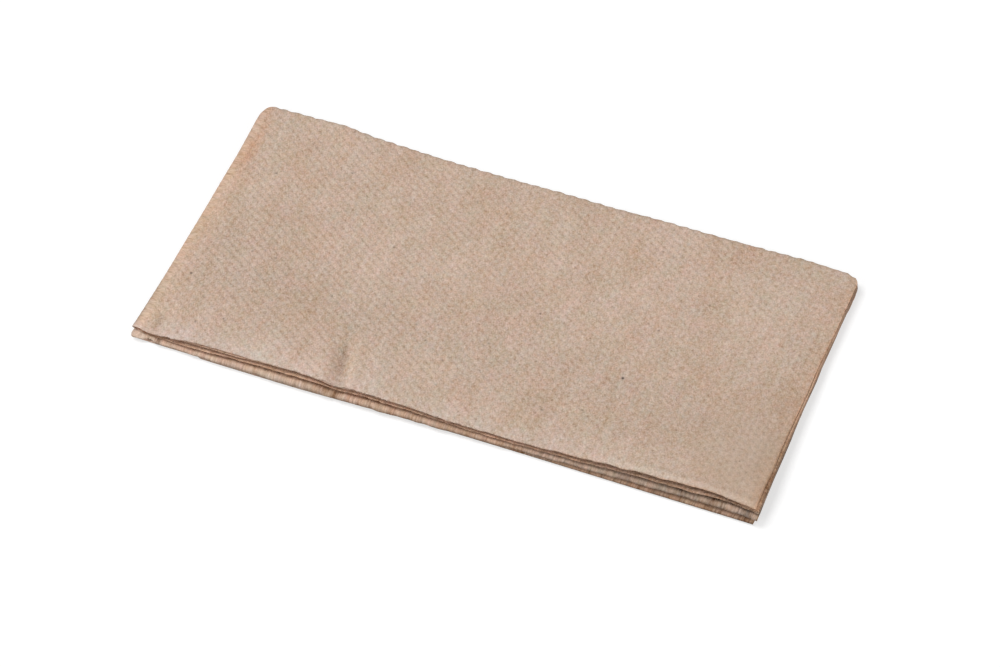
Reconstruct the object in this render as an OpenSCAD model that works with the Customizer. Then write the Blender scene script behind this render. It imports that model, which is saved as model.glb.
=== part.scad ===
// Paper napkin: one square tissue sheet, folded three times into eight layers.
// The first fold shows at the near edge of the lower half, the second at the left end of both halves,
// and the third is the far edge, where the upper half turns over onto the lower one.
// Lengths are in millimetres. X runs along the napkin, Y from the near edge to the far one, Z up.
// The origin is under the middle of the folded napkin, on the surface that it lies on.

/* [Folded napkin] */
// Length of the folded napkin, from the left fold to the longest cut edge
folded_l = 200; // [120:1:260]
// Depth of the folded napkin, from the near fold to the far fold
folded_w = 100; // [60:1:130]

/* [Paper] */
// Thickness of the embossed two-ply sheet
sheet_t = 0.4; // [0.2:0.05:0.8]
// Air between neighbouring layers of one half
layer_gap = 0.2; // [0.1:0.05:0.5]
// Air between the upper half and the lower half
half_gap = 1; // [0.4:0.1:3]

/* [Cut edges] */
// Deepest set-back of a right-hand cut edge, measured from the longest one
right_set_back = 1.5; // [0.5:0.1:4]
// Deepest set-back of a near cut edge of the upper half, measured from the near fold
near_set_back = 2; // [0.5:0.1:6]

/* [Look] */
// Colour of the unbleached tissue
paper_colour = "#c1a997"; // ["#c1a997":Natural brown, "#e8e4da":Bleached]

/* [Hidden] */
$fn = 48;

// The stack: four layers in each half, counted from the bottom of the napkin
half_layers = 4;
layers = 2 * half_layers;
layer_pitch = sheet_t + layer_gap;
half_t = half_layers * layer_pitch - layer_gap;

// Outside radii of the folds, which wrap round the air between the layers that they join
tight_r = sheet_t + layer_gap / 2;
wide_r = half_t / 2;
spine_r = half_t + half_gap / 2;

// Lines that the folds turn about, with the folded napkin centred on the origin
left_x = wide_r - folded_l / 2;
near_y = tight_r - folded_w / 2;
far_y = folded_w / 2 - spine_r;

// Right-hand set-backs at the far fold, from its outermost loop to its innermost
far_right_shares = [0.5, 0.35, 0.2, 0.3];
// Right-hand set-backs of the two near folds, lower one first
fold_right_shares = [1, 0];
// Right-hand set-backs at the near end of the upper half's layers, lowest first
cut_right_shares = [0.2, 0.1, 0.3, 0.7];
// Near set-backs of the upper half's layers at the left fold, lowest first
left_near_shares = [0.6, 0.2, 0.2, 0.6];
// Near set-backs of the upper half's layers at the right-hand edge, lowest first
right_near_shares = [0.2, 0.3, 0.5, 0.8];

function is_upper(i) = i >= half_layers;

// Underside of layer i
function layer_z(i) = i * layer_pitch + (is_upper(i) ? half_gap - layer_gap : 0);

// Middle of a half, where its left folds turn
function half_z(upper) = layer_z(upper ? half_layers : 0) + wide_r;

function set_back_right(share) = folded_l / 2 - right_set_back * share;

function set_back_near(share) = near_set_back * share - folded_w / 2;

// Right-hand end of loop i of the far fold, counted from its outside
function far_right(i) = set_back_right(far_right_shares[i]);

// Right-hand end of layer i at the near edge
function near_right(i) = is_upper(i)
    ? set_back_right(cut_right_shares[i - half_layers])
    : set_back_right(fold_right_shares[floor(i / 2)]);

// Near edge of layer i where it leaves the left fold
function near_at_left(i) = is_upper(i)
    ? set_back_near(left_near_shares[i - half_layers])
    : near_y;

// Near edge of layer i at its right-hand corner
function near_at_right(i) = is_upper(i)
    ? set_back_near(right_near_shares[i - half_layers])
    : near_y;

// Section of a fold: half a ring of one sheet, turned to the left
module half_ring(outer_r) {
    intersection() {
        difference() {
            circle(r = outer_r);
            circle(r = outer_r - sheet_t);
        }
        translate([-outer_r, -outer_r])
            square([outer_r, 2 * outer_r]);
    }
}

// One flat layer, with its cut edges a little out of square
module layer(i) {
    translate([0, 0, layer_z(i)])
        linear_extrude(sheet_t)
            polygon([
                [left_x, far_y],
                [left_x, near_at_left(i)],
                [near_right(i), near_at_right(i)],
                [far_right(min(i, layers - 1 - i)), far_y]
            ]);
}

// Left fold of one half, from its near end to the far fold
module left_fold(outer_r, near_end, axis_z) {
    translate([left_x, far_y, axis_z])
        rotate([90, 0, 0])
            linear_extrude(far_y - near_end)
                half_ring(outer_r);
}

// The two loops in the left fold of one half: the outer one holds the inner one
module left_folds(upper) {
    outermost = upper ? half_layers : 0;
    left_fold(wide_r, near_at_left(outermost), half_z(upper));
    left_fold(tight_r, near_at_left(outermost + 1), half_z(upper));
}

// Near fold of the lower half, joining layer i to the one above it
module near_fold(i) {
    translate([left_x, near_y, layer_z(i) + tight_r])
        rotate([90, 0, 90])
            linear_extrude(near_right(i) - left_x)
                half_ring(tight_r);
}

// Where the near fold was turned back on itself by the left fold
module near_fold_corner() {
    translate([left_x, near_y, half_z(false)])
        rotate([-90, 0, 0])
            rotate([0, 0, 90])
                rotate_extrude(angle = 180)
                    translate([layer_pitch, 0])
                        rotate(90)
                            half_ring(tight_r);
}

// Section of one half across the left fold, at its distance from the line that the far fold turns about
module half_section() {
    for (i = [0 : half_layers - 1])
        translate([spine_r - sheet_t - i * layer_pitch, left_x])
            square([sheet_t, far_right(i) - left_x]);
    for (outer_r = [wide_r, tight_r])
        translate([spine_r - wide_r, left_x])
            rotate(90)
                half_ring(outer_r);
}

// Far fold: all four layers turn over together
module far_fold() {
    translate([0, far_y, spine_r])
        rotate([0, 90, 0])
            rotate_extrude(angle = 180)
                half_section();
}

module napkin() {
    color(paper_colour) {
        for (i = [0 : layers - 1])
            layer(i);
        for (upper = [false, true])
            left_folds(upper);
        for (i = [0 : 2 : half_layers - 1])
            near_fold(i);
        near_fold_corner();
        far_fold();
    }
}

napkin();
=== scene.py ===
# %% [markdown]
# # A folded paper napkin
#
# The whole object is one sheet of soft brown tissue. It was embossed as it came off the roll, cut square
# and folded three times, and it has been lying long enough for its folds to spring open a little.
#
# Eight thin boxes in a pile would look much the same from afar, but they have no folds. The lesson makes
# the napkin as the real one is made: a flat blank, an embossed pattern, three folds, and then the settling.

import math

import bpy
import numpy as np
from mathutils import Matrix, Vector


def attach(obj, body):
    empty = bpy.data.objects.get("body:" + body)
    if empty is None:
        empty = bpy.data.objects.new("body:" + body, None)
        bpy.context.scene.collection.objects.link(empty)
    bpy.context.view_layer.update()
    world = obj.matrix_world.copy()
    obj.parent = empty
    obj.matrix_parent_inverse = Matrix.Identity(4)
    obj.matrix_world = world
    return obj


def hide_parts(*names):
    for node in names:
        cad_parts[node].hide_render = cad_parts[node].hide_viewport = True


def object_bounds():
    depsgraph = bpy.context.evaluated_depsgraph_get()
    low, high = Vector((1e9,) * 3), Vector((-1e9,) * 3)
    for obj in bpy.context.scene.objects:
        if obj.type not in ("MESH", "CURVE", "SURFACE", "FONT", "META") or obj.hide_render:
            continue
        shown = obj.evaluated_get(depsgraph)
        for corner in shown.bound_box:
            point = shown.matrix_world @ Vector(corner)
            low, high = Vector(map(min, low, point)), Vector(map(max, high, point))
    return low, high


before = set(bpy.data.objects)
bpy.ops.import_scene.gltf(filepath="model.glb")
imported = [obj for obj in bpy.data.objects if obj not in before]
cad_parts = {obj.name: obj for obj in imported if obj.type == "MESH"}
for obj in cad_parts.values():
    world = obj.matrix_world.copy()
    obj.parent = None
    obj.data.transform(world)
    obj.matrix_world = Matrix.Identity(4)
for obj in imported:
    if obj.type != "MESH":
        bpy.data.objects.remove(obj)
cad_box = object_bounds()
cad_size = [round((high - low) * 1000, 1) for low, high in zip(*cad_box)]
print("the folded solid measures", cad_size, "mm")

# %% [markdown]
# ## Sizes to keep at hand
#
# Paper is measured in millimetres, so the lesson works in millimetres and turns them into metres at the end
# of a step. Across the blank, places run from one right-hand cut edge (-200) to the other (200), with the
# left fold at nought. Along it, they run from one near cut edge (0) to the other (400). The radii of the
# folds could be guessed one by one. Here they follow from the pitch of the layers, so each fold fits inside
# the next.

# %% Sizes
MM = 0.001
# the flat sheet, its thickness, and the steps of the staggered lattice that it is embossed with
SIDE = 400.0
HALF = SIDE / 2
QUARTER = SIDE / 4
SKIN = 0.3
EMBOSS_X = 4.115
EMBOSS_Y = 2.743
# the folded napkin, and the place of its far edge
LENGTH = 200.0
DEPTH = 100.8
FAR_LINE = 50.0
# the stack of layers, and the radii of the three folds
LAYERS = 8
LAYER_PITCH = 0.6
HALF_GAP = 1.0
HALF_STACK = 1.5 * LAYER_PITCH
NEAR_R = LAYER_PITCH / 2
LEFT_R = LAYER_PITCH
FAR_R = HALF_STACK + HALF_GAP / 2
stack_height = 2 * (FAR_R + HALF_STACK) + SKIN
print(LAYERS, "layers of", SKIN, "mm stand", round(stack_height, 2), "mm high before they settle")

# %% [markdown]
# ## Where the blank needs points
#
# Tissue turns sharply at a fold and lies almost flat everywhere else. An even grid that is fine enough for
# the folds would have millions of faces. So the lines of the blank are planned first: close together at the
# folds and at the torn near edge, four to each step of the emboss where it shows, and few in the layers
# that nobody sees.

# %% Helpers for lines
SAME_LINE = 0.04


def steps(start, stop, step):
    """Even lines from start to stop, about one step apart."""
    count = max(1, round(abs(stop - start) / step))
    return np.linspace(start, stop, count + 1).tolist()


def merge(*groups):
    """The lines of all groups in order, each once."""
    kept = []
    for line in sorted(line for group in groups for line in group):
        if not kept or line - kept[-1] > SAME_LINE:
            kept.append(line)
    return kept


def nearest(lines, wanted):
    """The lines that lie nearest to the wanted places."""
    found = {min(lines, key=lambda line: abs(line - place)) for place in wanted}
    return sorted(found)


def lattice(step, first, last):
    """Lines at whole numbers of steps, from the first number to the last."""
    return [k * step for k in range(first, last + 1)]


print("lines less than", SAME_LINE, "mm apart count as one")

# %% Lines across the sheet
SEAM = -EMBOSS_X
LAST_STEP = 48.5


def front_lines(parts):
    """Lines over the half with the outer layers, with so many parts to each step of the emboss."""
    embossed = lattice(EMBOSS_X / parts, parts // 2, round(parts * LAST_STEP))
    return merge([SEAM, -3.0], steps(-2.0, 2.0, 0.25), embossed, [HALF])


def back_lines(parts):
    """Lines over the half with the inner layers, from its cut edge to the seam beside the left fold."""
    return merge([-HALF], lattice(-EMBOSS_X / parts, parts, round(parts * LAST_STEP)))


front_plain = front_lines(2)
front_fine = front_lines(4)
front_torn = front_lines(8)
back_plain = back_lines(2)
back_fine = back_lines(4)
back_torn = back_lines(8)
print(len(front_plain), "plain,", len(front_fine), "fine and", len(front_torn), "torn lines across one half")

# %% Lines along the sheet
FINE_Y = EMBOSS_Y / 4
WIDE_STEP = 8.0
FOLD_STEP = 0.6
FAR_STEPS = 152
LOOP_STEPS = 286
TORN_END = FINE_Y
FAR_END = FAR_STEPS * FINE_Y
LOOP_START = LOOP_STEPS * FINE_Y
LOOP_STOP = SIDE - LOOP_START
torn_along = [0.0, 0.3, TORN_END]
far_fold_lines = [(k + 0.5) * FINE_Y for k in range(141, 151)]
top_along = merge(lattice(FINE_Y, 1, FAR_STEPS), far_fold_lines)
under_along = lattice(FINE_Y, FAR_STEPS, LOOP_STEPS)
off_nose = (0.12, 0.24, 0.36, 0.5, 0.7, 1.0, 1.5, 2.2, 3.0)
loop_along = merge([LOOP_START, HALF, LOOP_STOP], [HALF + side * off for off in off_nose for side in (-1, 1)])
inner_along = merge(
    [LOOP_STOP],
    steps(208.0, 296.0, WIDE_STEP),
    steps(296.0, 304.0, FOLD_STEP),
    steps(304.0, 396.0, WIDE_STEP),
    [398.0, 399.2, SIDE],
)
sparse_top = [0.7, 2.0, 4.0] + steps(8.0, 96.0, WIDE_STEP) + steps(97.0, 103.5, FOLD_STEP) + [FAR_END]
sparse_under = [FAR_END] + steps(108.0, 192.0, WIDE_STEP) + [LOOP_START]
back_top = nearest(top_along, sparse_top)
back_under = nearest(under_along, sparse_under)
front_along = merge(torn_along, top_along, under_along, loop_along, inner_along)
print(len(front_fine), "by", len(top_along), "lines carry the embossed top")

# %% [markdown]
# ## The flat blank
#
# A sheet of paper has an outside, an inside and a narrow rim at its cut edges. A thickened grid would give
# all of them the same fineness. Here the skin is put together from patches, each as fine as it needs to be.
# Where a fine patch meets a plain one, the plain faces take the extra points into their outline, so the
# skin stays closed.

# %% Points and patches
TINY = 1e-6
points = []
point_of = {}
faces = []
rim_edges = []


def point(across, along, side):
    """Number of the point at this place on the outside (side 1) or the inside (side -1)."""
    key = (round(across, 4), round(along, 4), side)
    if key not in point_of:
        point_of[key] = len(points)
        points.append((across, along, side * SKIN / 2))
    return point_of[key]


def between(lines, start, stop):
    """Start, then every line before stop, in walking order."""
    low, high = min(start, stop), max(start, stop)
    inside = sorted(line for line in lines if low + TINY < line < high - TINY)
    return [start] + (inside if start < stop else inside[::-1])


fine_across = back_fine + front_fine
seam_across = {
    TORN_END: back_torn + front_torn,
    FAR_END: front_fine,
    LOOP_START: fine_across,
    LOOP_STOP: fine_across,
}
seam_along = {SEAM: front_along}


def patch(across, along, side=1):
    """One grid of faces, which takes in the points of a finer neighbour along a seam."""
    for s0, s1 in zip(across, across[1:]):
        for v0, v1 in zip(along, along[1:]):
            ring = [point(s, v0, side) for s in between(seam_across.get(v0, []), s0, s1)]
            ring += [point(s1, v, side) for v in between(seam_along.get(s1, []), v0, v1)]
            ring += [point(s, v1, side) for s in between(seam_across.get(v1, []), s1, s0)]
            ring += [point(s0, v, side) for v in between(seam_along.get(s0, []), v1, v0)]
            faces.append(ring if side > 0 else ring[::-1])


print(len(seam_across), "seams run across the outside and", len(seam_along), "along it")

# %% The outside and the inside
for lines_across, lines_along in (
    (front_torn, torn_along),
    (back_torn, torn_along),
    (front_fine, top_along),
    (front_plain, under_along),
    (front_fine, loop_along),
    (front_plain, inner_along),
    (back_plain, back_top),
    (back_plain, back_under),
    (back_fine, loop_along),
    (back_plain, inner_along),
):
    patch(lines_across, lines_along)
outside_count = len(faces)
# the inside has no seams: it is one plain patch
seam_across.clear()
seam_along.clear()
lining_across = merge(back_plain, front_plain)
lining_along = merge([0.0], back_top, back_under, loop_along, inner_along)
patch(lining_across, lining_along, -1)
print(outside_count, "faces outside,", len(faces) - outside_count, "inside")


# %% The rim at the cut edges
def rim(outside, inside, place):
    """Faces from the outside to the inside along one cut edge. Walking along it, the sheet is on the left."""
    for a, b in zip(inside, inside[1:]):
        upper = [point(*place(line), 1) for line in between(outside, a, b) + [b]]
        lower = [point(*place(a), -1), point(*place(b), -1)]
        faces.append(lower + upper[::-1])
        rim_edges.extend(zip(upper, upper[1:]))
        rim_edges.append(tuple(lower))


rim(merge(back_torn, front_torn), lining_across, lambda s: (s, 0.0))
rim(front_along, lining_along, lambda v: (HALF, v))
rim(lining_across[::-1], lining_across[::-1], lambda s: (s, SIDE))
rim(merge(torn_along, lining_along)[::-1], lining_along[::-1], lambda v: (-HALF, v))
print(len(points), "points and", len(faces), "faces in the flat blank")

# %% [markdown]
# ## From a list of points to a mesh
#
# On real tissue the fibres and the pits follow the paper round every fold. A pattern in space would cut
# straight through the folds. So each point keeps its place on the flat sheet as a texture coordinate, and
# every pattern is drawn on that map. The rim gets sharp edges, because paper has no rounded ones.

# %% Make the mesh
flat = np.array(points)
flat_x, flat_y, flat_z = flat.T
blank_mesh = bpy.data.meshes.new("napkin_blank")
blank_mesh.from_pydata((flat * MM).tolist(), [], faces)
blank_mesh.polygons.foreach_set("use_smooth", [True] * len(blank_mesh.polygons))
sheet_map = blank_mesh.uv_layers.new(name="sheet")
corner_point = np.empty(len(blank_mesh.loops), dtype=np.int32)
blank_mesh.loops.foreach_get("vertex_index", corner_point)
map_place = np.stack([flat_x / SIDE + 0.5, flat_y / SIDE], axis=1)
sheet_map.data.foreach_set("uv", map_place[corner_point].astype(np.float32).ravel())
sharp = {tuple(sorted(edge)) for edge in rim_edges}
for edge in blank_mesh.edges:
    if tuple(sorted(edge.vertices)) in sharp:
        edge.use_edge_sharp = True
print(len(sharp), "sharp edges run along the cut edges")

# %% [markdown]
# ## Cut edges
#
# Tissue tears more than it cuts, so its edges are ragged, and one near edge has short tatters. The other is
# cut short and out of square, so two layers lie back under the top sheet. Moving points by hand would take
# hours. The long curves are drawn as a boat builder draws them, with a batten bent round a few nails, and
# the ragged part is a sum of uneven waves.

# %% Curves for edges
ANY_PHASE = 6.3


def batten(place, nails):
    """A smooth curve through the nails, given as pairs of place and height, as a bent batten draws it."""
    at, height = np.array(nails, dtype=float).T
    slope = np.gradient(height, at)
    i = np.clip(np.searchsorted(at, place) - 1, 0, len(at) - 2)
    span = at[i + 1] - at[i]
    u = np.clip((place - at[i]) / span, 0.0, 1.0)
    rise = u * u * (3 - 2 * u)
    lean = (1 - u) * slope[i] - u * slope[i + 1]
    return height[i] + (height[i + 1] - height[i]) * rise + span * u * (1 - u) * lean


def wobble(place, seed, lengths):
    """An uneven wave made of a few lengths."""
    waves = np.random.default_rng(seed)
    total = np.zeros_like(place)
    for length in lengths:
        total += math.sqrt(length) * np.sin(place / length * 2 * math.pi + waves.uniform(0, ANY_PHASE))
    return total / math.sqrt(sum(lengths))


def ramp(place, start, stop):
    """0 up to start, rising evenly to 1 at stop."""
    return np.clip((place - start) / (stop - start), 0.0, 1.0)


print("halfway between its ends a ramp is at", ramp(1.0, 0.0, 2.0))

# %% Ragged and short edges
RAGGED = 0.11
TATTERS = 0.10
SHORT_FROM = 340.0
torn_lengths = (31.0, 12.0, 5.3, 3.1, 2.2)
cut = flat.copy()
for seed, (axis, place) in enumerate(((1, 0.0), (1, SIDE), (0, HALF), (0, -HALF)), start=70):
    on_edge = np.abs(flat[:, axis] - place) < TINY
    cut[on_edge, axis] += RAGGED * wobble(flat[on_edge, 1 - axis], seed, torn_lengths)
tatters = np.random.default_rng(8)
on_edge = np.abs(flat_y) < TINY
cut[on_edge, 1] += tatters.normal(0.0, TATTERS, on_edge.sum())
# how far the second and the third layer stop short, at places across the sheet
second_nails = [(0, 0.6), (8, 0.4), (20, 0.4), (40, 0.4), (57, 1.3), (120, 1.5), (184, 1.3), (197, 0.4)]
third_nails = [(0, 0.6), (8, 1.2), (20, 2.1), (38, 2.6), (120, 2.6), (184, 2.2), (197, 0.2)]
short = np.where(flat_x > 0, batten(flat_x, second_nails), batten(-flat_x, third_nails))
cut[:, 1] -= short * ramp(flat_y, SHORT_FROM, SIDE)
blank_mesh.vertices.foreach_set("co", (cut * MM).astype(np.float32).ravel())
blank_mesh.update()
napkin = bpy.data.objects.new("napkin_sheet", blank_mesh)
bpy.context.scene.collection.objects.link(napkin)
print("the sheet stops short by up to", short.max().round(2), "mm")

# %% [markdown]
# ## Sums with nodes
#
# Node trees can do sums, but a long sum is hard to read as boxes and links. This small helper lets a value
# in a tree be written like a number, so that the folding rule and the paper's pattern stay readable. It
# serves both kinds of tree.


# %% A value in a node tree that can be used like a number
class Wire:
    def __init__(self, tree, socket):
        self.tree = tree
        self.socket = socket

    def sum(self, operation, *others):
        """One sum of this value with others, as a new node."""
        node = self.tree.nodes.new("ShaderNodeMath")
        node.operation = operation
        for slot, value in zip(node.inputs, (self, *others)):
            if isinstance(value, Wire):
                value.into(slot)
            else:
                slot.default_value = value
        return Wire(self.tree, node.outputs[0])

    def into(self, slot):
        """Leads the value into a socket of another node."""
        self.tree.links.new(self.socket, slot)

    def __add__(self, other):
        return self.sum("ADD", other)

    def __sub__(self, other):
        return self.sum("SUBTRACT", other)

    def __mul__(self, other):
        return self.sum("MULTIPLY", other)

    def __truediv__(self, other):
        return self.sum("DIVIDE", other)

    def __rsub__(self, other):
        return (self * -1.0) + other

    __radd__ = __add__
    __rmul__ = __mul__

    def size(self):
        """The value without its sign."""
        return self.sum("ABSOLUTE")

    def over(self, mark):
        """1 where the value is above the mark, else 0."""
        return self.sum("GREATER_THAN", mark)

    def under(self, mark):
        """1 where the value is below the mark, else 0."""
        return self.sum("LESS_THAN", mark)

    def limit(self, low, high):
        """The value, kept between low and high."""
        return self.sum("MAXIMUM", low).sum("MINIMUM", high)

    def bell(self, width):
        """1 at nought, falling away on both sides within the width."""
        return (self / width).sum("POWER", 2.0).sum("MULTIPLY", -1.0).sum("EXPONENT")

    def centred(self):
        """The part after the point, moved to run from -0.5 to 0.5."""
        return (self + 0.5).sum("FRACT") - 0.5


def pits(across, along, width, length):
    """1 in the middle of each embossed pit. Every second row is shifted by half a step."""
    total = 0.0
    for shift in (0.0, 0.5):
        off_x = (across / EMBOSS_X + shift).centred() * EMBOSS_X
        off_y = (along / EMBOSS_Y + shift).centred() * EMBOSS_Y
        total = off_x.bell(width) * off_y.bell(length) + total
    return total


print("pits repeat every", EMBOSS_X, "by", EMBOSS_Y, "mm")

# %% [markdown]
# ## One fold as a rule
#
# A fold turns a strip of paper round a line. Paper before the line ends up on one side, paper past it on
# the other, and the strip in the middle goes round in a half circle, or a longer nose if the fold is plump.
# Bending the mesh with an armature would squeeze the inner layers. By this rule every layer goes round on a
# half circle of its own, wider the further it lies from the line. It is a node group, so the same fold can
# be made three times.


# %% The fold group
def float_socket(tree, name, way):
    tree.interface.new_socket(name=name, in_out=way, socket_type="NodeSocketFloat")


QUARTER_TURN = math.pi / 2
fold = bpy.data.node_groups.new("fold over a line", "GeometryNodeTree")
for name in ("Past the line", "Off the line", "Radius", "Nose"):
    float_socket(fold, name, "INPUT")
for name in ("From the fold", "Height"):
    float_socket(fold, name, "OUTPUT")
fold_in = fold.nodes.new("NodeGroupInput")
fold_out = fold.nodes.new("NodeGroupOutput")
past = Wire(fold, fold_in.outputs["Past the line"])
off = Wire(fold, fold_in.outputs["Off the line"])
bend_half = Wire(fold, fold_in.outputs["Radius"]) * QUARTER_TURN
turn = (past / bend_half).limit(-1.0, 1.0) * QUARTER_TURN
flat_part = (past.size() - bend_half).sum("MAXIMUM", 0.0)
nose = off * turn.sum("COSINE") * Wire(fold, fold_in.outputs["Nose"])
(flat_part - nose).into(fold_out.inputs["From the fold"])
(off * turn.sum("SINE")).into(fold_out.inputs["Height"])
print("fold rule of", len(fold.nodes), "nodes")

# %% [markdown]
# ## Emboss, then fold three times
#
# The pits are pressed into the outside of the blank first, and less deep where a fold has ironed them out.
# Then the near fold, the left fold and the far fold follow in the order in which a folding machine makes
# them. Each works on what the one before it left, so one tree does it all and its sizes stay in named
# inputs.

# %% The emboss in the tree
folding = bpy.data.node_groups.new("fold the napkin", "GeometryNodeTree")
folding.interface.new_socket(name="Blank", in_out="INPUT", socket_type="NodeSocketGeometry")
for name in ("Pit depth", "Near radius", "Left radius", "Far radius", "Near nose", "Left nose", "Far nose"):
    float_socket(folding, name, "INPUT")
folding.interface.new_socket(name="Paper", in_out="INPUT", socket_type="NodeSocketMaterial")
folding.interface.new_socket(name="Folded", in_out="OUTPUT", socket_type="NodeSocketGeometry")
tree_in = folding.nodes.new("NodeGroupInput")
tree_out = folding.nodes.new("NodeGroupOutput")
blank_place = folding.nodes.new("ShaderNodeSeparateXYZ")
folding.links.new(folding.nodes.new("GeometryNodeInputPosition").outputs[0], blank_place.inputs[0])
across = Wire(folding, blank_place.outputs["X"]) / MM
along = Wire(folding, blank_place.outputs["Y"]) / MM
off_middle = Wire(folding, blank_place.outputs["Z"]) / MM
IRONED_REACH = 4.0
PIT_WIDTH = 0.62
PIT_LENGTH = 0.70
ironed = (1.0 - (along - HALF).bell(IRONED_REACH) * 0.9) * (1.0 - across.bell(IRONED_REACH) * 0.7)
depth_here = Wire(folding, tree_in.outputs["Pit depth"]) * ironed * off_middle.over(0.0)
pressed = off_middle - pits(across, along, PIT_WIDTH, PIT_LENGTH) * depth_here
print("emboss of", len(folding.nodes), "nodes")


# %% The three folds in the tree
def make_fold(past_line, off_line, which):
    """Folds at a line and gives the way from the fold and the height over it."""
    node = folding.nodes.new("GeometryNodeGroup")
    node.node_tree = fold
    radius = Wire(folding, tree_in.outputs[which + " radius"])
    past_line.into(node.inputs["Past the line"])
    (off_line + radius).into(node.inputs["Off the line"])
    radius.into(node.inputs["Radius"])
    folding.links.new(tree_in.outputs[which + " nose"], node.inputs["Nose"])
    return Wire(folding, node.outputs["From the fold"]), Wire(folding, node.outputs["Height"])


from_near, height_1 = make_fold(HALF - along, pressed, "Near")
from_left, height_2 = make_fold(across, height_1, "Left")
from_far, height_3 = make_fold(from_near - QUARTER, height_2, "Far")
folded_place = folding.nodes.new("ShaderNodeCombineXYZ")
(from_left * MM).into(folded_place.inputs["X"])
(from_far * -MM).into(folded_place.inputs["Y"])
(height_3 * MM).into(folded_place.inputs["Z"])
move = folding.nodes.new("GeometryNodeSetPosition")
realize = folding.nodes.new("GeometryNodeRealizeInstances")
cover = folding.nodes.new("GeometryNodeSetMaterial")
folding.links.new(tree_in.outputs["Blank"], move.inputs["Geometry"])
folding.links.new(folded_place.outputs[0], move.inputs["Position"])
folding.links.new(move.outputs[0], realize.inputs[0])
folding.links.new(realize.outputs[0], cover.inputs["Geometry"])
folding.links.new(tree_in.outputs["Paper"], cover.inputs["Material"])
folding.links.new(cover.outputs[0], tree_out.inputs["Folded"])
print("folding tree of", len(folding.nodes), "nodes")

# %% [markdown]
# ## Fold the blank
#
# The tree runs once, and its result becomes a plain mesh. It could stay live on the object, but the next
# steps move single points, and a plain mesh is also what leaves Blender in the end. The folded sheet is
# then brought to the length and depth of the real napkin.

# %% Run the tree
paper = bpy.data.materials.new("paper")
paper.use_nodes = True
maker = napkin.modifiers.new("folds", "NODES")
maker.node_group = folding
settings = {
    "Pit depth": 0.09,
    "Near radius": NEAR_R,
    "Left radius": LEFT_R,
    "Far radius": FAR_R,
    "Near nose": 4.0,
    "Left nose": 2.4,
    "Far nose": 1.0,
    "Paper": paper,
}
for item in folding.interface.items_tree:
    if item.in_out == "INPUT" and item.name in settings:
        maker[item.identifier] = settings[item.name]
napkin.update_tag()
seen = napkin.evaluated_get(bpy.context.evaluated_depsgraph_get())
folded_mesh = bpy.data.meshes.new_from_object(seen)
napkin.modifiers.remove(maker)
napkin.data = folded_mesh
folded_mesh.name = "napkin_sheet"
stack = np.empty(len(folded_mesh.vertices) * 3, dtype=np.float32)
folded_mesh.vertices.foreach_get("co", stack)
stack = stack.reshape(-1, 3).astype(float) / MM
low_corner = stack.min(axis=0)
folded_size = stack.max(axis=0) - low_corner
x = (stack[:, 0] - low_corner[0]) * LENGTH / folded_size[0] - LENGTH / 2
y = (stack[:, 1] - low_corner[1]) * DEPTH / folded_size[1] + FAR_LINE - DEPTH
z = stack[:, 2]
print("folded to", folded_size.round(2).tolist(), "mm")

# %% [markdown]
# ## How the stack has settled
#
# Fresh from the machine all layers would be parallel. In use the folds spring and the open edges gape, so
# the stack is now an even wedge: open along the near edge and closing towards the far fold. A cloth
# simulation of eight layers that touch would be slow and hard to steer. What settles is really the air, so
# each of the seven gaps gets its own height along the near edge and its share of the height at the far
# fold. The paper keeps its thickness, and no layer can pass through another.


# %% Ways in from the edges
def hump(place, middle, width):
    """1 in the middle, falling away smoothly on both sides."""
    return np.exp(-(((place - middle) / width) ** 2))


def fade(distance, reach):
    """1 at an edge, falling to nought at the reach."""
    return ramp(distance, reach, 0.0) ** 2


from_near_edge = y + DEPTH - FAR_LINE
from_far_edge = FAR_LINE - y
from_left_edge = x + LENGTH / 2
from_right_edge = LENGTH / 2 - x
print("points lie up to", from_near_edge.max().round(1), "mm in from the near edge")

# %% Air between the layers
# heights of the seven gaps at places along the near edge, the lowest gap first
near_air = [
    [(-100, 0.20), (-80, 0.12), (-10, 0.12), (8, 0.22), (18, 0.42), (33, 0.75), (60, 1.00), (84, 1.15),
     (100, 1.15)],
    [(-100, 0.10), (-20, 0.08), (40, 0.14), (60, 0.30), (76, 0.50), (100, 0.55)],
    [(-100, 0.90), (-90, 0.80), (-80, 1.00), (-62, 1.65), (-43, 1.85), (-20, 1.75), (-4, 1.50), (18, 1.00),
     (33, 0.85), (46, 0.95), (60, 1.15), (84, 1.15), (100, 1.35)],
    [(-100, 0.12), (-92, 0.25), (-86, 0.50), (-80, 0.80), (-62, 1.10), (-43, 1.25), (-20, 1.20), (-4, 1.05),
     (18, 0.80), (33, 0.85), (46, 1.00), (60, 1.20), (84, 1.20), (92, 1.05), (100, 0.85)],
    [(-100, 0.08), (-92, 0.20), (-80, 0.55), (-62, 0.45), (-43, 0.38), (-4, 0.30), (18, 0.20), (33, 0.20),
     (46, 0.30), (76, 0.30), (90, 0.28), (100, 0.15)],
    [(-100, 0.08), (-92, 0.20), (-80, 0.40), (-62, 0.22), (-43, 0.10), (-4, 0.06), (18, 0.05), (46, 0.08),
     (100, 0.10)],
    [(-100, 0.10), (-92, 0.20), (-80, 0.45), (-62, 0.35), (-43, 0.36), (-4, 0.30), (18, 0.22), (33, 0.30),
     (46, 0.45), (68, 0.70), (84, 0.60), (90, 0.40), (100, 0.18)],
]
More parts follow.
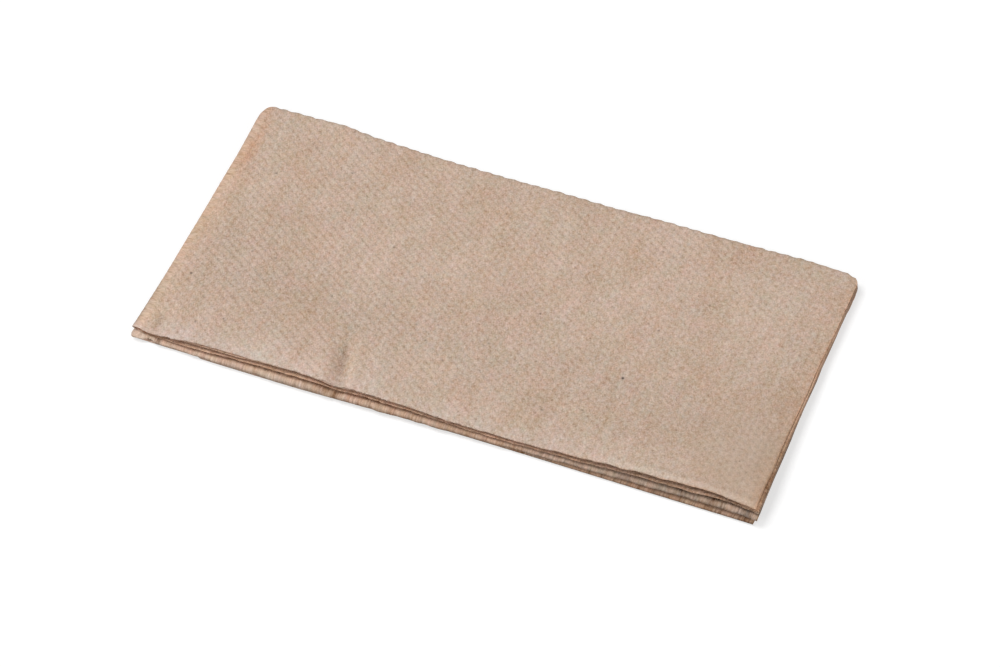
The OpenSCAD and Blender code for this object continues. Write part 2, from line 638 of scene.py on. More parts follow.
# how much of that is left further in, and how the height at the far fold is shared out
near_swell = [(0, 1.0), (5, 1.04), (10, 1.01), (18, 0.86), (30, 0.62), (50, 0.33), (75, 0.10), (101, 0.0)]
far_total = [(-100, 5.6), (-88, 5.8), (-76, 5.6), (-62, 5.0), (-48, 4.6), (-30, 4.4), (0, 4.4), (50, 4.3),
             (100, 4.1)]
far_share = [0.13, 0.12, 0.14, 0.24, 0.13, 0.11, 0.13]
right_air = [0.03, 0.04, 0.03, 0.06, 0.03, 0.03, 0.04]
LEAST_AIR = 0.02
CREASE_FOOT = -32.6
far_air = batten(x, far_total) - LAYERS * SKIN
left_press = 0.5 * fade(from_left_edge, 24.0)
left_press *= ramp(from_far_edge, 0.0, 22.0) * ramp(from_near_edge, 0.0, 50.0)
air = []
for near, far, right in zip(near_air, far_share, right_air):
    gap = far_air * far
    gap += (batten(x, near) - gap) * batten(from_near_edge, near_swell)
    gap *= 1 - left_press
    gap += right * fade(from_right_edge, 20.0) * (1 - fade(from_near_edge, 50.0))
    air.append(gap)
# at the foot of the crease the plump upper loop is pressed flatter
dent = 0.55 * hump(x, CREASE_FOOT, 1.5) * fade(from_near_edge, 12.0)
air[2] = air[2] - dent
air[3] = air[3] + dent
air = [np.maximum(gap, LEAST_AIR) for gap in air]
print("air in the stack:", [round(float(gap.max()), 2) for gap in air], "mm at most, from the lowest gap up")

# %% [markdown]
# ## Paper and air, one on the other
#
# Each point knows how high it lay in the parallel stack. That height could be scaled as a whole, but then
# the paper would swell with the air. So it is read off a new scale, in which paper keeps its thickness and
# only air is stretched or squeezed. Inside a loop the whole loop is stretched evenly, so that its nose
# stays round, and the two ways are blended close to the folds.

# %% Settle the layers
in_half = [(k - 1.5) * LAYER_PITCH for k in range(LAYERS // 2)]
middles = [half_middle + offset for half_middle in (-FAR_R, FAR_R) for offset in in_half]
old_marks = []
new_marks = []
level = np.zeros_like(x)
for middle, gap in zip(middles, air + [0.0]):
    old_marks += [middle - SKIN / 2, middle + SKIN / 2]
    new_marks += [level, level + SKIN]
    level = level + SKIN + gap


def rescale(kept):
    """Reads every height off the new scale, by the kept marks alone. New marks differ from point to point."""
    old = [old_marks[mark] for mark in kept]
    new = [new_marks[mark] for mark in kept]
    result = new[0] + (z - old[0])
    for i in range(len(old) - 1):
        share = (z - old[i]) / (old[i + 1] - old[i])
        result = np.where(z > old[i], new[i] + share * (new[i + 1] - new[i]), result)
    return result


by_layer = rescale(range(2 * LAYERS))
by_near_loop = rescale([0, 3, 4, 7, 8, 9, 10, 11, 12, 13, 14, 15])
by_left_loop = rescale([0, 7, 8, 15])
by_far_loop = rescale([0, 15])
settled = by_layer + (by_near_loop - by_layer) * ramp(from_near_edge, 5.0, 0.0)
settled += (by_left_loop - settled) * ramp(from_left_edge, 6.0, 0.0)
settled += (by_far_loop - settled) * ramp(from_far_edge, 9.0, 0.0)
total_height = new_marks[-1]
height_share = settled / total_height
print("stack stands", total_height.min().round(2), "to", total_height.max().round(2), "mm high")

# %% [markdown]
# ## Edges that don't line up
#
# A machine folds fast, and no edge of the stack lies exactly over the next. The near loops bow in at the
# middle, the cut edges at the right are staggered, the corners are rubbed round, and the far fold is
# scalloped by the emboss. Random shifts would look like a shuffled pack of cards. Here each layer is
# shifted by a curve of its own, which dies away further in, so that the sheet stays smooth.


# %% Near edges
def by_height(*values):
    """A different amount for each layer, blended in between. The lowest layer comes first."""
    marks = np.array(middles)
    i = np.clip(np.searchsorted(marks, z) - 1, 0, len(marks) - 2)
    u = np.clip((z - marks[i]) / (marks[i + 1] - marks[i]), 0.0, 1.0)
    table = np.stack([np.broadcast_to(np.asarray(v, dtype=float), x.shape) for v in values])
    every = np.arange(len(x))
    return table[i, every] * (1 - u) + table[i + 1, every] * u


bow = batten(x, [(-100, 0.1), (-77, -0.1), (-36, -0.2), (-4, 0.3), (28, 0.9), (67, 0.75), (100, 0.35)])
lowest = bow + batten(x, [(-100, 0.8), (-60, 0.9), (0, 0.7), (30, 0.0), (60, -0.2), (100, 0.0)])
lowest -= 0.45 * ramp(x, -78.0, -76.8) * ramp(x, -15.0, -45.0)
pocket = 0.9 * hump(x, -94.0, 1.6) + 0.5 * hump(x, -86.0, 5.0) + 0.25 * hump(x, CREASE_FOOT, 1.6)
plump = bow + pocket + batten(x, [(-100, 0.0), (50, 0.0), (76, 0.35), (84, 0.45), (92, 0.3), (100, 0.0)])
plump += 0.12 * wobble(x, 21, (17.0, 9.0, 6.1, 4.3))
fourth = batten(x, [(-100, -0.6), (-92, -0.7), (-80, -1.2), (-62, -1.25), (-43, -1.25), (-20, -1.05),
                    (18, -1.05), (40, -0.85), (60, -0.7), (76, -0.4), (84, -0.2), (90, -0.1), (97, -0.8),
                    (100, -1.0)])
top = batten(x, [(-100, -0.8), (-80, -0.75), (-62, -0.6), (-43, -0.85), (-20, -0.95), (18, -0.9), (40, -0.5),
                 (60, -0.3), (68, 0.0), (76, 0.35), (84, 0.7), (90, 0.2), (100, -0.1)])
new_y = y + by_height(lowest, lowest, plump, plump, fourth, fourth, fourth, top) * fade(from_near_edge, 46.0)
upper = by_height(0, 0, 0, 0, 1, 1, 1, 1)
new_y += 0.9 * upper * hump(from_left_edge, 0.0, 4.5) * fade(from_near_edge, 22.0)
print("near edges moved by up to", np.abs(new_y - y).max().round(2), "mm")

# %% Far fold
far_bow = batten(x, [(-100, 0.2), (-88, 0.44), (-76, 0.4), (-62, 0.0), (-48, -0.5), (-30, -0.9), (0, -1.0),
                     (50, -0.8), (100, -0.15)])
far_bow += 0.6 * hump(x, -72.0, 6.0) - 0.5 * hump(x, 92.0, 6.0)
new_y += far_bow * fade(from_far_edge, 44.0)
scallop = 0.5 + 0.5 * np.cos(2 * math.pi * x / EMBOSS_X + 0.4 * wobble(x, 44, (37.0, 23.0)))
scallop = 0.30 * scallop + 0.10 * wobble(x, 45, (7.3, 4.7, 3.1))
new_y -= scallop * hump(from_far_edge, 0.0, 1.6)
new_y -= 1.7 * hump(from_right_edge, 0.0, 3.4) * fade(from_far_edge, 18.0)
print("scallops are up to", scallop.max().round(2), "mm deep")

# %% Right-hand edges and corners
toward_near = ramp(from_far_edge, 0.0, DEPTH)
stagger_near = by_height(-0.5, -0.3, 0.7, 0.9, 1.0, 0.9, 0.8, -0.5)
stagger_far = by_height(0.6, 0.7, 0.65, 0.75, 0.7, 0.75, 0.7, 0.65)
sag = -0.5 * np.sin(np.pi * toward_near)
stagger = stagger_near * toward_near + stagger_far * (1 - toward_near) + sag
new_x = x + ramp(from_left_edge, 0.0, LENGTH) ** 2 * stagger
new_x += 2.0 * hump(from_far_edge, 0.0, 3.2) * fade(from_left_edge, 9.0)
new_x -= 0.7 * fade(from_left_edge, 10.0) * fade(from_near_edge, 36.0)
new_x -= 1.9 * hump(from_far_edge, 0.0, 2.6) * fade(from_right_edge, 14.0)
print("edges staggered by up to", np.abs(new_x - x).max().round(2), "mm")

# %% [markdown]
# ## Handling marks
#
# Somebody has held this napkin: there is a short crease in from the near edge, a soft roll along the left
# fold and a faint unevenness everywhere. A bump in the material would not show in the outline, so these
# marks are real height. All layers share them, fading with depth. The layers under the top sheet get a
# wider trough, so that none of them comes through it where it dips.


# %% The crease
def ripple(seed, lengths, squeeze=1.0):
    """Soft random waves of the given lengths, running in many directions."""
    waves = np.random.default_rng(seed)
    total = np.zeros_like(x)
    for length in lengths:
        angle = waves.uniform(-math.pi, math.pi)
        way = (x * math.cos(angle) + y * squeeze * math.sin(angle)) / length
        total += np.sin(2 * math.pi * way + waves.uniform(0, 2 * math.pi))
    return total / math.sqrt(len(lengths))


CREASE_X = -31.8
CREASE_LEAN = 0.26
CREASE_DEPTH = 1.35
CREASE_WIDTH = 2.2
off_crease = x - CREASE_X + CREASE_LEAN * from_near_edge
crease = 0.35 * hump(off_crease, -3.8, 2.0) + 0.30 * hump(off_crease, 4.0, CREASE_WIDTH)
crease -= CREASE_DEPTH * hump(off_crease, 0.0, CREASE_WIDTH)
beside_crease = np.maximum(np.abs(off_crease) - CREASE_WIDTH, 0.0)
trough = -CREASE_DEPTH * hump(beside_crease, 0.0, CREASE_WIDTH)
embossed_top = (flat_z > 0) & (flat_y < FAR_END) & (flat_x >= SEAM)
crease = np.where(embossed_top, crease, trough)
crease *= ramp(from_near_edge, 23.0, 11.0) * (0.45 + 0.55 * ramp(from_near_edge, 0.0, 6.0))
print("the crease is", -crease[embossed_top].min().round(2), "mm deep")

# %% The other marks
ridge = 0.16 * hump(x, -36.5, 3.0) * hump(from_near_edge, 31.0, 14.0)
groove = -0.40 * hump(from_left_edge, 3.8, 1.4) * hump(from_far_edge, 18.0, 9.0)
dimple = -0.8 * hump(from_left_edge, 5.4, 2.0) * hump(from_near_edge, 5.0, 3.4)
roll = 0.10 * hump(from_left_edge, 3.2, 1.6) - 0.10 * hump(from_left_edge, 6.4, 1.8)
droop = -0.45 * fade(from_right_edge, 12.0) * ramp(from_far_edge, 0.0, 40.0)
pleats = 0.07 * wobble(x, 33, (14.0, 11.0, 8.5, 7.0)) * fade(from_near_edge, 40.0) * ramp(x, -20.0, 30.0)
uneven = 0.16 * ripple(5, (60, 47, 38, 31, 26, 22)) + 0.02 * ripple(9, (14, 11, 9, 8, 7, 6), 0.25)
marks = crease + ridge + groove + dimple + roll + droop + pleats + uneven
# room under the groove and the dimple
spare = hump(from_near_edge, 5.0, 7.0) + hump(from_far_edge, 18.0, 12.0)
spare *= 0.25 * hump(from_left_edge, 5.0, 4.0)
marks -= np.where(embossed_top, 0.0, spare)
settled += ramp(height_share, 0.25, 1.0) * marks
settled -= settled.min()
final = np.stack([new_x, new_y, settled], axis=1)
napkin.data.vertices.foreach_set("co", (final * MM).astype(np.float32).ravel())
napkin.data.update()
print("napkin measures", (final.max(axis=0) - final.min(axis=0)).round(2).tolist(), "mm")

# %% [markdown]
# ## Which side of the paper
#
# Between two layers, light comes through the tissue and makes it look warmer than the open top. The
# renderer could work out light in thin paper, but slowly and with much noise. Instead every point learns
# how far inside the stack it is, and by that number the colour is painted warmer, as painted light through
# the tissue, and a little darker, as painted shade between the layers.

# %% Mark the inner faces
OF_RIGHT_CUT = 0.9
on_inside = np.where(flat_x < 0, ramp(-flat_x, 1.5, 4.5), ramp(flat_y, HALF, HALF + 0.8))
on_inside *= ramp(np.abs(flat_y - HALF), 0.15, 0.95)
inner = np.where(flat_z < 0, 1.0, on_inside)
# the cut rims at the right take most of the same painted shade and warm painted tint
at_right_cut = np.abs(np.abs(flat_x) - HALF) < TINY
inner = np.where(at_right_cut, OF_RIGHT_CUT, inner)
napkin.data.attributes.new("inner", "FLOAT", "POINT").data.foreach_set("value", inner.astype(np.float32))
print(int((inner > 0.5).sum()), "of", len(inner), "points lie inside the stack")

# %% [markdown]
# ## Brown tissue
#
# Unbleached tissue is a mat of short fibres, darker and paler ones mixed. It shows at three sizes, as fine
# grain, as streaks and as clouds, and its colour wanders a little towards pink and towards yellow. A
# picture of tissue would blur when seen close and repeat when seen from afar. So all of it is noise, drawn
# on the map of the sheet.

# %% The map of the sheet
SEED_STEP = 3.7
nodes = paper.node_tree.nodes
links = paper.node_tree.links
shader = nodes["Principled BSDF"]
shader.inputs["Roughness"].default_value = 0.92
shader.inputs["Specular IOR Level"].default_value = 0.15
sheet_uv = nodes.new("ShaderNodeUVMap")
sheet_uv.uv_map = "sheet"
split = nodes.new("ShaderNodeSeparateXYZ")
links.new(sheet_uv.outputs[0], split.inputs[0])
on_x = (Wire(paper.node_tree, split.outputs["X"]) - 0.5) * SIDE
on_y = Wire(paper.node_tree, split.outputs["Y"]) * SIDE


def noise(size_x, size_y, seed, detail=2.0, roughness=0.5, tilt=0.0):
    """Noise in the paper, about -1 to 1, with its own grain size in millimetres each way."""
    where = nodes.new("ShaderNodeCombineXYZ")
    along_x = on_x * math.cos(tilt) + on_y * math.sin(tilt)
    along_y = on_y * math.cos(tilt) - on_x * math.sin(tilt)
    (along_x / size_x).into(where.inputs["X"])
    (along_y / size_y).into(where.inputs["Y"])
    where.inputs["Z"].default_value = SEED_STEP * seed
    node = nodes.new("ShaderNodeTexNoise")
    node.inputs["Scale"].default_value = 1.0
    node.inputs["Detail"].default_value = detail
    node.inputs["Roughness"].default_value = roughness
    links.new(where.outputs[0], node.inputs["Vector"])
    return (Wire(paper.node_tree, node.outputs[0]) - 0.5) * 2.0


def beyond(value, start, stop):
    """0 up to start, rising to 1 at stop, for a value in the tree."""
    return ((value - start) / (stop - start)).limit(0.0, 1.0)


def spot(at_x, at_y, wide, deep):
    """A soft spot on the sheet, 1 in its middle."""
    return (on_x - at_x).bell(wide) * (on_y - at_y).bell(deep)


print("map of the sheet read by", len(nodes), "nodes")

# %% The mat of fibres
streaks = noise(2.4, 13.0, 1, 3.0)
clouds = noise(15.0, 24.0, 2, 3.0)
blotch = noise(1.3, 1.5, 3)
grain = noise(0.55, 0.60, 4, 3.0, 0.65)
hairs = noise(0.16, 1.9, 5, tilt=0.5)
hairs_two = noise(0.16, 1.7, 6, tilt=-0.7)
fine = grain * 0.56 + hairs * 0.27 + hairs_two * 0.22
middling = blotch * 0.26 + streaks * 0.15
broad = clouds * 0.16
tint = noise(2.2, 3.4, 7) + noise(0.9, 0.9, 8) + noise(7.0, 9.0, 11)
yellow = noise(1.8, 3.0, 12) + noise(0.9, 0.9, 13) + noise(8.0, 7.0, 14)
print("fibres of", len(nodes), "nodes")

# %% [markdown]
# ## The pressed pattern
#
# The emboss is pressed dense, and its pits are painted darker as well as being deeper: partly painted
# shade in the hollows, partly denser paper. The slanting ribs between the pits get painted shade, the shade
# a lamp from the left throws on them, strongest at the left and along part of the far fold, and at the
# right they are worn to straight rows. The mesh has the pits already. The finer ribs would need many more
# faces, so they are drawn as sums on the same lattice.

# %% Pits, ribs and rows
worn = beyond(clouds, -0.6, 0.7)
pit = pits(on_x, on_y, 0.52, 0.60)
slant = (on_x / EMBOSS_X + on_y / EMBOSS_Y).centred().bell(0.16)
left_more = beyond(on_x, 170.0, 30.0)
far_ribs = spot(150.0, QUARTER, 40.0, 20.0)
rows = (on_x / EMBOSS_X * 2.0).centred().bell(0.2) * (1.0 - left_more)
# painted shade on the slanting ribs, strongest at the left and along part of the far fold
rib_shade = slant * (left_more * 0.06 + far_ribs * 0.05 + 0.03)
# pits painted darker, partly painted shade in the hollows and partly denser paper, with the ribs and rows
pressed_dark_and_shade = (pit * 0.08 + rib_shade + rows * 0.02) * (worn * 0.7 + 0.5)
print("pattern of", len(nodes), "nodes")

# %% [markdown]
# ## Flecks and specks
#
# Recycled fibre brings bits of bark along. Small flecks are strewn by chance, one to a cell of a Voronoi
# texture, which is cheaper than thousands of loose points. The few specks that anyone would notice have
# their own places, given in millimetres from the left fold and from the far fold.

# %% Flecks and specks
FLECK_CELL = 4.2
cells = nodes.new("ShaderNodeTexVoronoi")
cells.inputs["Scale"].default_value = SIDE / FLECK_CELL
cells.inputs["Randomness"].default_value = 1.0
links.new(sheet_uv.outputs[0], cells.inputs["Vector"])
fleck_size = Wire(paper.node_tree, cells.outputs["Distance"])
chance = nodes.new("ShaderNodeSeparateColor")
links.new(cells.outputs["Color"], chance.inputs[0])
chosen = Wire(paper.node_tree, chance.outputs[0])
fleck = beyond(fleck_size, 0.11, 0.03) * beyond(chosen, 0.35, 0.9)
# each speck: from the left fold, from the far fold, size, darkness
specks = [
    (146.5, 67.2, 0.50, 0.90), (6.3, 74.3, 0.45, 0.70), (150.0, 45.5, 0.38, 0.55), (113.7, 51.6, 0.38, 0.50),
    (36.8, 18.5, 0.38, 0.50), (14.5, 27.7, 0.38, 0.50), (61.3, 43.0, 0.38, 0.50), (93.0, 80.0, 0.36, 0.45),
    (16.0, 92.0, 0.36, 0.45), (139.5, 83.0, 0.36, 0.45), (128.0, 86.8, 0.36, 0.45), (24.0, 88.5, 0.36, 0.40),
    (21.0, 60.5, 0.40, 0.40), (29.0, 60.5, 0.36, 0.40), (103.5, 68.5, 0.36, 0.40), (80.0, 69.5, 0.36, 0.40),
    (140.0, 14.0, 0.34, 0.40), (161.0, 30.0, 0.34, 0.40),
]
speck = 0.0
for left_mm, far_mm, size, dark in specks:
    speck = spot(left_mm, QUARTER - far_mm, size, size) * dark + speck
print(len(specks), "specks have their own places")

# %% [markdown]
# ## Painted light and shade on the top sheet
#
# Much of the light and shade on the top sheet is painted into its colour: a painted highlight along the
# left fold, with painted shade in the groove behind it and on its rolled edge, painted shade in a dent at
# the near left corner, a belt of painted shade across the sheet, painted shade and painted light on the two
# walls of the crease, painted shade towards the right edge and at the near right corner, which is also
# smoother, and a painted highlight with painted shade behind it on the curled near rim at the right. Along
# the near edge the paper is lighter and whiter, partly painted light and partly a paler tone, with a soft
# pool of painted light at the near left. One could paint this on a picture. Here each place is a soft shape
# from 0 to 1, in millimetres on the sheet, which stays exact at any size. What the places do to the colour
# comes later, in one table.

# %% Places on the top sheet
from_far_fold = QUARTER - on_y
# painted highlight on the rolled left fold, where it faces the key lamp, a little warmer
left_fold_light = on_x.bell(7.0) * beyond(from_far_fold, 18.0, 34.0) + on_x.bell(1.8)
# painted shade in the groove behind the rolled left fold, darker and browner
left_groove_shade = spot(2.4, QUARTER - 19.0, 1.9, 10.0)
# painted shade: a thin dark line where the rolled left edge turns away, towards the near end
left_edge_shade = on_x.bell(0.45) * beyond(on_y, 26.0, 10.0)
# painted shade in a dent at the near left corner
corner_dent_shade = spot(4.9, 5.0, 1.4, 3.2)
# lighter and whiter along the near edge: partly painted light where the edge turns to the lamps, partly a
# paler tone
near_pale_and_light = on_y.bell(5.0) * (beyond(on_x, 150.0, 30.0) * 0.7 + 0.3) * on_x.over(-1.0)
# painted light: a soft pool of light on the near left of the top sheet
near_left_light = spot(35.0, 8.0, 36.0, 15.0)
# painted highlight on the curled near rim at the right, with painted shade just behind it
arc_highlight = (on_y - 0.9).bell(0.9) * beyond(on_x, 130.0, 170.0)
arc_shade = (on_y - 2.9).bell(0.9) * beyond(on_x, 150.0, 175.0)
# painted shade: a darker belt across the sheet where it slopes away from the light, and two soft patches
shade_belt = (on_y - 27.0).bell(14.0) + spot(20.0, 38.0, 20.0, 20.0) + spot(172.0, 16.0, 30.0, 16.0) * 0.6
crease_way = on_x - (CREASE_X + LENGTH / 2) + on_y * CREASE_LEAN
crease_near = (on_y - 9.0).bell(8.5)
# painted shade on the crease wall that faces away from the key lamp, painted light on the wall that faces it
crease_shade = (crease_way + 1.2).bell(1.6) * crease_near
crease_light = (crease_way - 2.2).bell(1.7) * crease_near
# painted shade towards the right edge, and a browner painted tint where that shaded edge is warmed by light
# through the tissue
right_shade = (on_x - HALF).bell(9.0)
right_shade_tint = (on_x - HALF).bell(3.5)
# painted shade at the near right corner, which tilts away from the lamps; the fibres are also smoother there
near_right_shade = spot(194.0, 13.0, 18.0, 22.0)
smooth = 1.0 - near_right_shade * 0.5
print("places on top drawn, tree of", len(nodes), "nodes")

# %% [markdown]
# ## Loops, linings and cut edges
#
# The near edge shows two loops of the first fold, one over the other. Their light and shade is mostly
# painted: painted shade in a thin line where each nose turns under, on the upper slopes under the layers
# above, in a pocket near the left fold and in small wrinkles, and more of it to the right, and painted
# highlights on the noses, on the plump parts and on the cut edge of the fourth layer. Behind them the
# linings take a warm painted tint and painted shade. At the right the cut edges get a painted highlight on
# their rims and a painted shadow on the brown strip. More materials would need hard borders. With the
# map one is enough, because each loop and lining has its own place on the flat sheet.

# %% Places on the near loops
from_nose = on_y - HALF
from_left_fold = on_x.size()
inner_half = on_x.under(0.0)
at_loop = from_nose.bell(4.0)
at_near = at_loop + on_y.bell(4.0) * inner_half
loop_up = from_nose * on_x.sum("SIGN")
# painted highlight along the noses of the loops
nose_light = from_nose.bell(1.6)
# painted light where the plump loops turn down away from the lamps
plump_light = (from_left_fold - 46.0).bell(26.0) * beyond(loop_up, 0.5, 0.2) * at_loop
upper_right = inner_half * beyond(from_left_fold, 110.0, 150.0)
# painted shade on the near loops towards the right, and a warm painted tint of shade on the loops
loop_right_shade = at_near * beyond(from_left_fold, 110.0, 175.0)
low_right_shade_tint = loop_right_shade * (1.0 - upper_right)
loop_shade_tint = at_loop * (1.0 - upper_right) * (1.0 - plump_light)
# painted shade on the upper slope of each loop, under the layers above
loop_top_shade = at_loop * beyond(loop_up, 0.25, 1.3)
# painted shade: a thin dark line where each loop nose turns under, away from the light
nose_underside_shade = from_nose.bell(0.2) * beyond(from_left_fold, 15.0, 35.0)
nose_underside_shade = nose_underside_shade * (1.0 - upper_right * 0.6) * (1.0 - plump_light * 0.8)
# painted highlight on the cut edge of the fourth layer
fourth_edge_light = on_y.bell(1.2) * on_x.under(-6.0) * (1.0 - upper_right)
corner_cream = at_loop * on_x.bell(5.0)
# painted shade in the pocket of the loops near the left fold
pocket_shade = at_loop * (from_left_fold - 7.3).bell(1.2)
crepe = noise(0.42, 3.2, 9)
smudge = noise(1.1, 9.0, 10, 3.0)
uneven_edge = (crepe * 0.16 + smudge * 0.22) * at_near
# painted shade of the wrinkles in the upper loop, one to a row: from the left fold, off the nose, width,
# height, darkness
wrinkles = [
    (186.0, 0.8, 1.4, 0.7, 0.38),
    (177.0, 0.6, 2.2, 0.5, 0.26),
    (196.5, 0.4, 2.0, 0.5, 0.32),
    (66.6, 0.3, 1.1, 0.45, 0.40),
    (63.5, 0.45, 2.8, 0.4, 0.26),
]
wrinkle_shade = 0.0
for left_mm, nose_mm, wide, high, dark in wrinkles:
    wrinkle_shade = spot(-left_mm, HALF - nose_mm, wide, high) * dark + wrinkle_shade
print(len(wrinkles), "wrinkles in the upper loop")

# %% Places on the linings and the right-hand cut edges
inner_face = nodes.new("ShaderNodeAttribute")
inner_face.attribute_name = "inner"
# painted shade on the linings inside the stack, and a warm painted tint of light coming through the tissue
inner_shade = Wire(paper.node_tree, inner_face.outputs["Fac"]) * (1.0 - plump_light * 0.9)
inner_light_tint = inner_shade * (1.0 - (from_left_fold - HALF).bell(8.0) * 0.3)
from_near_end = (on_y / HALF).centred().size() * HALF
near_end = beyond(from_near_end, 42.0, 12.0) * (1.0 - from_near_end.bell(4.5) * 0.5)
second_layer = on_y.over(HALF * 1.5)
# painted shadow of the top sheet on the strip of lower layers beside it
right_strip_shadow = inner_shade * (from_left_fold - 199.5).bell(3.0) * (near_end * second_layer + 0.25)
# painted highlight on the cut rims at the right, away from the near end
right_rim_light = (from_left_fold - HALF).bell(0.2) * (1.0 - near_end)
print("places on the linings drawn, tree of", len(nodes), "nodes")

# %% [markdown]
# ## Mixing the colour
#
# Every place now changes the brown of the paper in up to four ways: lighter, warmer (more red and less
# blue), less green and less blue. A chain of colour mixes would hide these amounts in many nodes. A table
# shows them side by side, and a loop adds up each column. The fibres differ between the channels, too, and
# blue varies most.

# %% What each place does to the colour
# each row: a place, then how much lighter, warmer, less green and less blue it is (last noughts left out)
effects = [
    (left_fold_light, 0.055, 0.03),
    (left_groove_shade, -0.07, 0.06, 0.09, 0.14),
    (left_edge_shade, -0.5),
    (corner_dent_shade, -0.30, 0.04),
    (near_pale_and_light, 0.14, -0.045, 0.0, -0.03),
    (near_left_light, 0.035, -0.012),
    (arc_highlight, 0.15, -0.03),
    (arc_shade, -0.06),
    (shade_belt, -0.04),
    (crease_shade, -0.25),
    (crease_light, 0.15),
    (right_shade, -0.07),
    (right_shade_tint, 0.0, 0.02, 0.03, 0.06),
    (near_right_shade, -0.075, 0.018, 0.0, 0.02),
    (nose_light, 0.05),
    (plump_light, 0.08),
    (loop_right_shade, -0.20),
    (low_right_shade_tint, 0.0, 0.06, 0.02, 0.02),
    (loop_shade_tint, 0.0, 0.03, 0.03, 0.05),
    # painted shade over the whole loops
    (at_loop, -0.05),
    (loop_top_shade, -0.16),
    (nose_underside_shade, -0.36, 0.03, 0.04, 0.06),
    (fourth_edge_light, 0.12),
    (corner_cream, 0.16, -0.07),
    (pocket_shade, -0.35),
    (wrinkle_shade, -1.0, 0.2),
    (inner_shade, -0.08),
    (inner_light_tint, 0.0, 0.07, 0.08, 0.12),
    (right_strip_shadow, -0.29, 0.0, 0.06, 0.14),
    (right_rim_light, 0.28),
    (fleck, -0.35, 0.03),
]


def column(number):
    """One column of the table, added up over all places that have an entry there."""
    total = 0.0
    for place, *amounts in effects:
        if number < len(amounts) and amounts[number]:
            total = place * amounts[number] + total
    return total


lighter, warmer, less_green, less_blue = (column(number) for number in range(4))
print(len(effects), "places change the colour")

# %% Mix the three channels
PAPER = (0.557, 0.415, 0.323)
DARKEST = 0.01
PALEST = 0.95
plain = lighter - pressed_dark_and_shade + uneven_edge + 1.0


def mottled(of_fine, of_middling, of_broad):
    """The plain tone with the mat of fibres, as one channel shows it."""
    return plain + (fine * of_fine + middling * of_middling) * smooth + broad * of_broad


red = mottled(0.86, 0.58, 0.70) * (1.0 + tint * smooth * 0.078 + warmer) * PAPER[0]
green = mottled(1.0, 1.0, 1.0) * (1.0 - less_green) * PAPER[1]
blue = mottled(1.11, 1.45, 1.30) * (1.0 + (tint * 0.015 - yellow * 0.056) * smooth - warmer)
blue = blue * (1.0 - less_blue) * PAPER[2]
mixed = nodes.new("ShaderNodeCombineColor")
for channel, value in zip(mixed.inputs, (red, green, blue)):
    (value * (1.0 - speck)).limit(DARKEST, PALEST).into(channel)
links.new(mixed.outputs[0], shader.inputs["Base Color"])
print("paper of", len(nodes), "nodes")

# %% [markdown]
# ## Relief of the fibres
#
# Held against the light, tissue is rough with single fibres and fine crepe lines. They are hundredths of a
# millimetre high, too fine for faces, so they are a bump. It uses the same noise as the colour, so that a
# dark hollow is also a low one.

# %% The relief
relief = grain * 0.030 + blotch * 0.015 + hairs * 0.010 + crepe * (at_near * 0.030 + 0.012)
relief = relief - pit * 0.050 - slant * (left_more * 0.030 + far_ribs * 0.025 + 0.020) - rows * 0.014
bump = nodes.new("ShaderNodeBump")
bump.inputs["Strength"].default_value = 1.0
bump.inputs["Distance"].default_value = MM
relief.into(bump.inputs["Height"])
links.new(bump.outputs[0], shader.inputs["Normal"])
print("paper with relief of", len(nodes), "nodes")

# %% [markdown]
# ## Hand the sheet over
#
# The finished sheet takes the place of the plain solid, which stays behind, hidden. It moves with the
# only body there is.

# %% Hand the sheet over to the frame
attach(napkin, "root")
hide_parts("napkin")
print(napkin.name, "has", sum(len(face.vertices) - 2 for face in napkin.data.polygons), "triangles")

# %% [markdown]
# ## Floor
#
# The napkin lies on a pale studio floor. White paint would throw too much light back up, and stronger lamps
# would bleach the napkin. So the floor is grey, and it glows white only where it is looked at directly. It
# still takes the napkin's soft shadow.

# %% Floor
FLOOR_SIZE = 12.0
FLOOR_GREY = 0.45
FLOOR_GLOW = 0.60


def seen_directly(tree):
    """1 where the camera, a reflection or a clear material looks at this, and 0 where it lights others."""
    path = tree.nodes.new("ShaderNodeLightPath")
    total = 0.0
    for ray in ("Is Camera Ray", "Is Glossy Ray", "Is Transmission Ray"):
        total = Wire(tree, path.outputs[ray]) + total
    return total.limit(0.0, 1.0)


bpy.ops.mesh.primitive_plane_add(size=FLOOR_SIZE)
floor = bpy.context.object
floor.name = "floor"
floor_paint = bpy.data.materials.new("floor_paint")
floor_paint.use_nodes = True
floor_nodes = floor_paint.node_tree.nodes
floor_links = floor_paint.node_tree.links
floor_shader = floor_nodes["Principled BSDF"]
floor_shader.inputs["Base Color"].default_value = (FLOOR_GREY, FLOOR_GREY, FLOOR_GREY, 1.0)
floor_shader.inputs["Roughness"].default_value = 1.0
floor_shader.inputs["Specular IOR Level"].default_value = 0.0
glow = floor_nodes.new("ShaderNodeEmission")
(seen_directly(floor_paint.node_tree) * FLOOR_GLOW).into(glow.inputs["Strength"])
both = floor_nodes.new("ShaderNodeAddShader")
floor_links.new(floor_shader.outputs[0], both.inputs[0])
floor_links.new(glow.outputs[0], both.inputs[1])
floor_links.new(both.outputs[0], floor_nodes["Material Output"].inputs["Surface"])
floor.data.materials.append(floor_paint)
print("floor of", FLOOR_SIZE, "m with a grey of", FLOOR_GREY)

# %% [markdown]
# ## Light
#
# A broad key lamp stands almost overhead, a little to the left, and two weaker ones fill in from the right
# and from the front, so that the loops at the near edge stay readable. One hard lamp would draw the emboss
# far too strongly. The lamps are set so that a colour renders about as it was written.

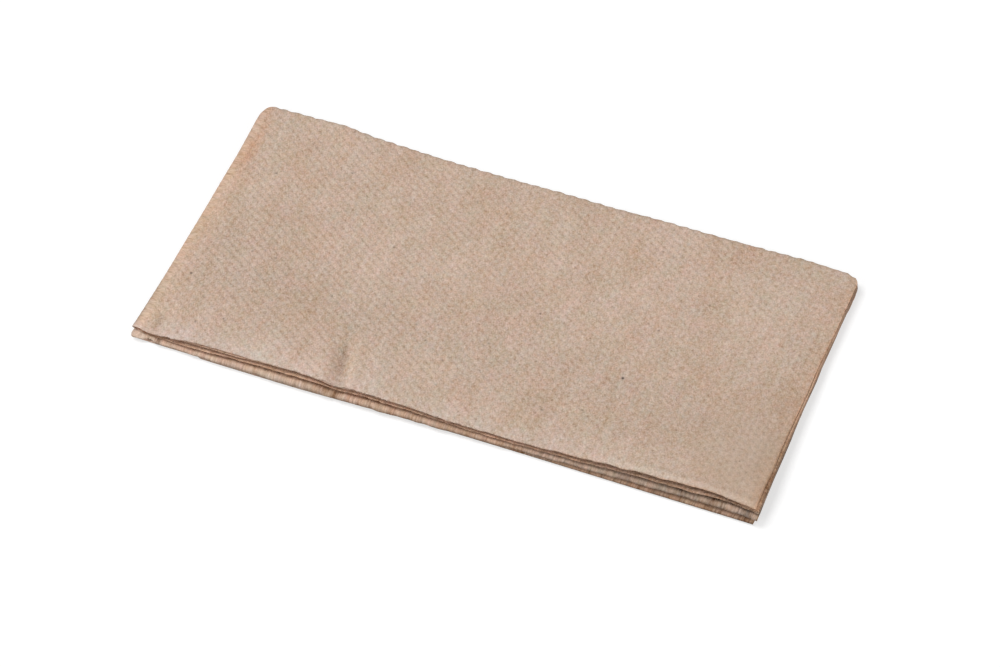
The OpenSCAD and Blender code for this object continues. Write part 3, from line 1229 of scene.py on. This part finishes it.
# %% Lights
AMBIENT = 0.24
world = bpy.data.worlds.new("studio")
bpy.context.scene.world = world
world.use_nodes = True
sky = world.node_tree.nodes["Background"]
sky.inputs["Color"].default_value = (1.0, 1.0, 1.0, 1.0)
(seen_directly(world.node_tree) * (1.0 - AMBIENT) + AMBIENT).into(sky.inputs["Strength"])


def lamp(name, place, width, power):
    """A square soft light that looks at the napkin."""
    data = bpy.data.lights.new(name, "AREA")
    data.shape = "SQUARE"
    data.size = width
    data.energy = power
    light = bpy.data.objects.new(name, data)
    light.location = place
    light.rotation_euler = (-Vector(place)).to_track_quat("-Z", "Y").to_euler()
    bpy.context.scene.collection.objects.link(light)
    print("lamp", name, "of", power, "W")


lamp("key", (-1.30, -0.15, 2.75), 1.6, 59.2)
lamp("right", (2.3, -0.6, 1.1), 1.2, 22.0)
lamp("front", (-0.9, -2.3, 1.55), 1.0, 18.0)

# %% [markdown]
# ## Camera
#
# The camera stands about a metre away, to the right of the near edge, and looks down through a long lens
# that keeps the edges almost parallel. It could be aimed with a constraint, but its small roll is easier to
# give as three directions.

# %% Camera
AZIMUTH = math.radians(22.97)
RISE = math.radians(50.29)
ROLL = math.radians(-1.75)
DISTANCE = 1.0729
ASIDE = 0.00052
UP = -0.00749
SENSOR = 36.0
PHOTO_WIDTH = 1000
FOCAL_PIXELS = 3511
back = Vector((math.sin(AZIMUTH) * math.cos(RISE), -math.cos(AZIMUTH) * math.cos(RISE), math.sin(RISE)))
level_way = Vector((math.cos(AZIMUTH), math.sin(AZIMUTH), 0.0))
upward = back.cross(level_way)
right_way = level_way * math.cos(ROLL) + upward * math.sin(ROLL)
up_way = upward * math.cos(ROLL) - level_way * math.sin(ROLL)
camera_data = bpy.data.cameras.new("camera")
camera_data.sensor_width = SENSOR
camera_data.lens = FOCAL_PIXELS * SENSOR / PHOTO_WIDTH
camera = bpy.data.objects.new("camera", camera_data)
stand = back * DISTANCE + right_way * ASIDE + up_way * UP
turn_to = Matrix((right_way, up_way, back)).transposed().to_4x4()
camera.matrix_world = Matrix.Translation(stand) @ turn_to
bpy.context.scene.collection.objects.link(camera)
bpy.context.scene.camera = camera
bpy.context.scene.view_settings.view_transform = "Standard"
print("camera with a lens of", round(camera_data.lens, 1), "mm")
